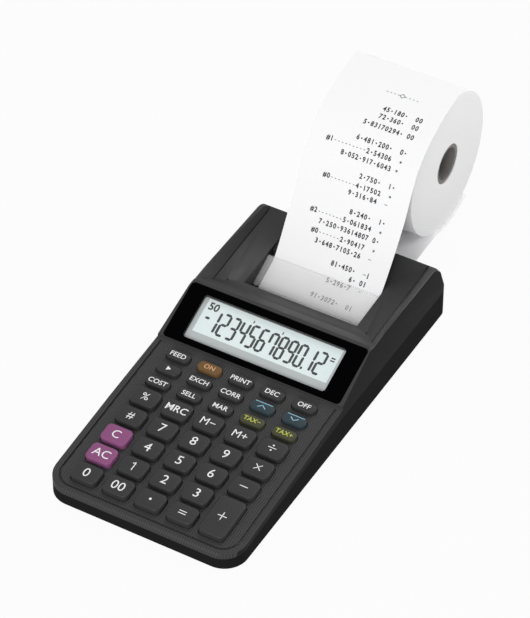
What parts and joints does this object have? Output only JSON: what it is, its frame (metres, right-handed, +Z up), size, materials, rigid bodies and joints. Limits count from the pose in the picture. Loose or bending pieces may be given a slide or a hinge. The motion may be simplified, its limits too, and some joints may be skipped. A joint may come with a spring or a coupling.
{
  "type": "printing desk calculator",
  "caption": "Slim desk calculator with a tilted display, pressable keys, a small drum printer under a lift-off cover and a paper roll in a cradle behind the case.",
  "frame": {"origin": "middle of the bounding box at the base, the plane the feet stand on", "axes": "+Z up; +Y from the front edge (key 0) towards the paper roll; +X to the right as the user sees it"},
  "size_m": [0.102, 0.2828, 0.0973],
  "materials": {
    "case": "moulded black, finely rippled",
    "window": "glossy black border round a clear display area",
    "lcd": "pale grey-green",
    "board": "green lacquer",
    "mat": "matt grey",
    "cutter": "clear, slightly milky",
    "plate": "plain steel",
    "drum": "dark",
    "ink": "soaked with violet ink",
    "platen": "matt black",
    "motor": "plated can",
    "gear": "natural",
    "paper": "white, uncoated",
    "cell": "plain wrap without lettering",
    "foot": "matt black",
    "key_dark": "moulded black with light legends",
    "key_magenta": "moulded magenta",
    "key_orange": "moulded orange",
    "key_blue": "moulded dark blue",
    "key_olive": "moulded olive"
  },
  "bodies": {
    "case": {"upper_case": "case", "lower_case": "case", "display_window": "window", "lcd_panel": "lcd", "main_board": "board", "key_mat": "mat", "printer_frame": "plate", "printer_motor": "motor", "paper_strip": "paper", "roll_holder": "case", "batteries": "cell", "feet": "foot", "screws": "plate"},
    "cover": {"printer_cover": "case", "paper_cutter": "cutter"},
    "battery_door": {"battery_cover": "case"},
    "roll": {"paper_roll": "paper"},
    "platen": {"platen_roller": "platen"},
    "drum": {"print_drum": "drum"},
    "ink": {"ink_roller": "ink"},
    "rotor": {"motor_gear": "gear"},
    "key_0_body": {"key_0": "key_dark"},
    "key_00_body": {"key_00": "key_dark"},
    "key_point_body": {"key_point": "key_dark"},
    "key_equals_body": {"key_equals": "key_dark"},
    "key_all_clear_body": {"key_all_clear": "key_magenta"},
    "key_1_body": {"key_1": "key_dark"},
    "key_2_body": {"key_2": "key_dark"},
    "key_3_body": {"key_3": "key_dark"},
    "key_add_body": {"key_add": "key_dark"},
    "key_clear_body": {"key_clear": "key_magenta"},
    "key_4_body": {"key_4": "key_dark"},
    "key_5_body": {"key_5": "key_dark"},
    "key_6_body": {"key_6": "key_dark"},
    "key_subtract_body": {"key_subtract": "key_dark"},
    "key_number_body": {"key_number": "key_dark"},
    "key_7_body": {"key_7": "key_dark"},
    "key_8_body": {"key_8": "key_dark"},
    "key_9_body": {"key_9": "key_dark"},
    "key_multiply_body": {"key_multiply": "key_dark"},
    "key_percent_body": {"key_percent": "key_dark"},
    "key_memory_recall_body": {"key_memory_recall": "key_dark"},
    "key_memory_minus_body": {"key_memory_minus": "key_dark"},
    "key_memory_plus_body": {"key_memory_plus": "key_dark"},
    "key_divide_body": {"key_divide": "key_dark"},
    "key_cost_body": {"key_cost": "key_dark"},
    "key_sell_body": {"key_sell": "key_dark"},
    "key_margin_body": {"key_margin": "key_dark"},
    "key_tax_minus_body": {"key_tax_minus": "key_olive"},
    "key_tax_plus_body": {"key_tax_plus": "key_olive"},
    "key_backspace_body": {"key_backspace": "key_dark"},
    "key_exchange_body": {"key_exchange": "key_dark"},
    "key_correct_body": {"key_correct": "key_dark"},
    "key_up_body": {"key_up": "key_blue"},
    "key_down_body": {"key_down": "key_blue"},
    "key_feed_body": {"key_feed": "key_dark"},
    "key_on_body": {"key_on": "key_orange"},
    "key_print_body": {"key_print": "key_dark"},
    "key_decimal_body": {"key_decimal": "key_dark"},
    "key_off_body": {"key_off": "key_dark"}
  },
  "joints": [
    {"name": "roll_spin", "type": "hinge", "parent": "case", "child": "roll", "pos_m": [0, 0.1038, 0.05535], "axis": [1, 0, 0], "continuous": true},
    {"name": "platen_spin", "type": "hinge", "parent": "case", "child": "platen", "pos_m": [0, 0.0171, 0.0106], "axis": [1, 0, 0], "continuous": true},
    {"name": "drum_spin", "type": "hinge", "parent": "case", "child": "drum", "pos_m": [0, 0.00744, 0.01319], "axis": [1, 0, 0], "continuous": true},
    {"name": "ink_spin", "type": "hinge", "parent": "case", "child": "ink", "pos_m": [0, 0.00136, 0.01927], "axis": [1, 0, 0], "continuous": true},
    {"name": "motor_spin", "type": "hinge", "parent": "case", "child": "rotor", "pos_m": [0, -0.00056, 0.0146], "axis": [1, 0, 0], "continuous": true},
    {"name": "cover_lift", "type": "slide", "parent": "case", "child": "cover", "axis": [0, 0.523, 0.8523], "range_m": [0, 0.012]},
    {"name": "battery_cover_slide", "type": "slide", "parent": "case", "child": "battery_door", "axis": [0, -1, 0], "range_m": [0, 0.0065]},
    {"name": "key_0_press", "type": "slide", "parent": "case", "child": "key_0_body", "axis": [0, 0.0958, -0.9954], "range_m": [0, 0.0015], "stiffness_N_per_m": 300},
    {"name": "key_00_press", "type": "slide", "parent": "case", "child": "key_00_body", "axis": [0, 0.0958, -0.9954], "range_m": [0, 0.0015], "stiffness_N_per_m": 300},
    {"name": "key_point_press", "type": "slide", "parent": "case", "child": "key_point_body", "axis": [0, 0.0958, -0.9954], "range_m": [0, 0.0015], "stiffness_N_per_m": 300},
    {"name": "key_equals_press", "type": "slide", "parent": "case", "child": "key_equals_body", "axis": [0, 0.0958, -0.9954], "range_m": [0, 0.0015], "stiffness_N_per_m": 300},
    {"name": "key_all_clear_press", "type": "slide", "parent": "case", "child": "key_all_clear_body", "axis": [0, 0.0958, -0.9954], "range_m": [0, 0.0015], "stiffness_N_per_m": 300},
    {"name": "key_1_press", "type": "slide", "parent": "case", "child": "key_1_body", "axis": [0, 0.0958, -0.9954], "range_m": [0, 0.0015], "stiffness_N_per_m": 300},
    {"name": "key_2_press", "type": "slide", "parent": "case", "child": "key_2_body", "axis": [0, 0.0958, -0.9954], "range_m": [0, 0.0015], "stiffness_N_per_m": 300},
    {"name": "key_3_press", "type": "slide", "parent": "case", "child": "key_3_body", "axis": [0, 0.0958, -0.9954], "range_m": [0, 0.0015], "stiffness_N_per_m": 300},
    {"name": "key_add_press", "type": "slide", "parent": "case", "child": "key_add_body", "axis": [0, 0.0958, -0.9954], "range_m": [0, 0.0015], "stiffness_N_per_m": 300},
    {"name": "key_clear_press", "type": "slide", "parent": "case", "child": "key_clear_body", "axis": [0, 0.0958, -0.9954], "range_m": [0, 0.0015], "stiffness_N_per_m": 300},
    {"name": "key_4_press", "type": "slide", "parent": "case", "child": "key_4_body", "axis": [0, 0.0958, -0.9954], "range_m": [0, 0.0015], "stiffness_N_per_m": 300},
    {"name": "key_5_press", "type": "slide", "parent": "case", "child": "key_5_body", "axis": [0, 0.0958, -0.9954], "range_m": [0, 0.0015], "stiffness_N_per_m": 300},
    {"name": "key_6_press", "type": "slide", "parent": "case", "child": "key_6_body", "axis": [0, 0.0958, -0.9954], "range_m": [0, 0.0015], "stiffness_N_per_m": 300},
    {"name": "key_subtract_press", "type": "slide", "parent": "case", "child": "key_subtract_body", "axis": [0, 0.0958, -0.9954], "range_m": [0, 0.0015], "stiffness_N_per_m": 300},
    {"name": "key_number_press", "type": "slide", "parent": "case", "child": "key_number_body", "axis": [0, 0.0958, -0.9954], "range_m": [0, 0.0015], "stiffness_N_per_m": 300},
    {"name": "key_7_press", "type": "slide", "parent": "case", "child": "key_7_body", "axis": [0, 0.0958, -0.9954], "range_m": [0, 0.0015], "stiffness_N_per_m": 300},
    {"name": "key_8_press", "type": "slide", "parent": "case", "child": "key_8_body", "axis": [0, 0.0958, -0.9954], "range_m": [0, 0.0015], "stiffness_N_per_m": 300},
    {"name": "key_9_press", "type": "slide", "parent": "case", "child": "key_9_body", "axis": [0, 0.0958, -0.9954], "range_m": [0, 0.0015], "stiffness_N_per_m": 300},
    {"name": "key_multiply_press", "type": "slide", "parent": "case", "child": "key_multiply_body", "axis": [0, 0.0958, -0.9954], "range_m": [0, 0.0015], "stiffness_N_per_m": 300},
    {"name": "key_percent_press", "type": "slide", "parent": "case", "child": "key_percent_body", "axis": [0, 0.0958, -0.9954], "range_m": [0, 0.0015], "stiffness_N_per_m": 300},
    {"name": "key_memory_recall_press", "type": "slide", "parent": "case", "child": "key_memory_recall_body", "axis": [0, 0.0958, -0.9954], "range_m": [0, 0.0015], "stiffness_N_per_m": 300},
    {"name": "key_memory_minus_press", "type": "slide", "parent": "case", "child": "key_memory_minus_body", "axis": [0, 0.0958, -0.9954], "range_m": [0, 0.0015], "stiffness_N_per_m": 300},
    {"name": "key_memory_plus_press", "type": "slide", "parent": "case", "child": "key_memory_plus_body", "axis": [0, 0.0958, -0.9954], "range_m": [0, 0.0015], "stiffness_N_per_m": 300},
    {"name": "key_divide_press", "type": "slide", "parent": "case", "child": "key_divide_body", "axis": [0, 0.0958, -0.9954], "range_m": [0, 0.0015], "stiffness_N_per_m": 300},
    {"name": "key_cost_press", "type": "slide", "parent": "case", "child": "key_cost_body", "axis": [0, 0.0958, -0.9954], "range_m": [0, 0.0015], "stiffness_N_per_m": 300},
    {"name": "key_sell_press", "type": "slide", "parent": "case", "child": "key_sell_body", "axis": [0, 0.0958, -0.9954], "range_m": [0, 0.0015], "stiffness_N_per_m": 300},
    {"name": "key_margin_press", "type": "slide", "parent": "case", "child": "key_margin_body", "axis": [0, 0.0958, -0.9954], "range_m": [0, 0.0015], "stiffness_N_per_m": 300},
    {"name": "key_tax_minus_press", "type": "slide", "parent": "case", "child": "key_tax_minus_body", "axis": [0, 0.0958, -0.9954], "range_m": [0, 0.0015], "stiffness_N_per_m": 300},
    {"name": "key_tax_plus_press", "type": "slide", "parent": "case", "child": "key_tax_plus_body", "axis": [0, 0.0958, -0.9954], "range_m": [0, 0.0015], "stiffness_N_per_m": 300},
    {"name": "key_backspace_press", "type": "slide", "parent": "case", "child": "key_backspace_body", "axis": [0, 0.0958, -0.9954], "range_m": [0, 0.0015], "stiffness_N_per_m": 300},
    {"name": "key_exchange_press", "type": "slide", "parent": "case", "child": "key_exchange_body", "axis": [0, 0.0958, -0.9954], "range_m": [0, 0.0015], "stiffness_N_per_m": 300},
    {"name": "key_correct_press", "type": "slide", "parent": "case", "child": "key_correct_body", "axis": [0, 0.0958, -0.9954], "range_m": [0, 0.0015], "stiffness_N_per_m": 300},
    {"name": "key_up_press", "type": "slide", "parent": "case", "child": "key_up_body", "axis": [0, 0.0958, -0.9954], "range_m": [0, 0.0015], "stiffness_N_per_m": 300},
    {"name": "key_down_press", "type": "slide", "parent": "case", "child": "key_down_body", "axis": [0, 0.0958, -0.9954], "range_m": [0, 0.0015], "stiffness_N_per_m": 300},
    {"name": "key_feed_press", "type": "slide", "parent": "case", "child": "key_feed_body", "axis": [0, 0.0958, -0.9954], "range_m": [0, 0.0015], "stiffness_N_per_m": 300},
    {"name": "key_on_press", "type": "slide", "parent": "case", "child": "key_on_body", "axis": [0, 0.0958, -0.9954], "range_m": [0, 0.0015], "stiffness_N_per_m": 300},
    {"name": "key_print_press", "type": "slide", "parent": "case", "child": "key_print_body", "axis": [0, 0.0958, -0.9954], "range_m": [0, 0.0015], "stiffness_N_per_m": 300},
    {"name": "key_decimal_press", "type": "slide", "parent": "case", "child": "key_decimal_body", "axis": [0, 0.0958, -0.9954], "range_m": [0, 0.0015], "stiffness_N_per_m": 300},
    {"name": "key_off_press", "type": "slide", "parent": "case", "child": "key_off_body", "axis": [0, 0.0958, -0.9954], "range_m": [0, 0.0015], "stiffness_N_per_m": 300}
  ],
  "couplings": [
    {"joint": "platen_spin", "follows": "roll_spin", "ratio": 7.6875},
    {"joint": "drum_spin", "follows": "roll_spin", "ratio": -7.6875},
    {"joint": "motor_spin", "follows": "roll_spin", "ratio": 12.3},
    {"joint": "ink_spin", "follows": "roll_spin", "ratio": 9.8229}
  ]
}
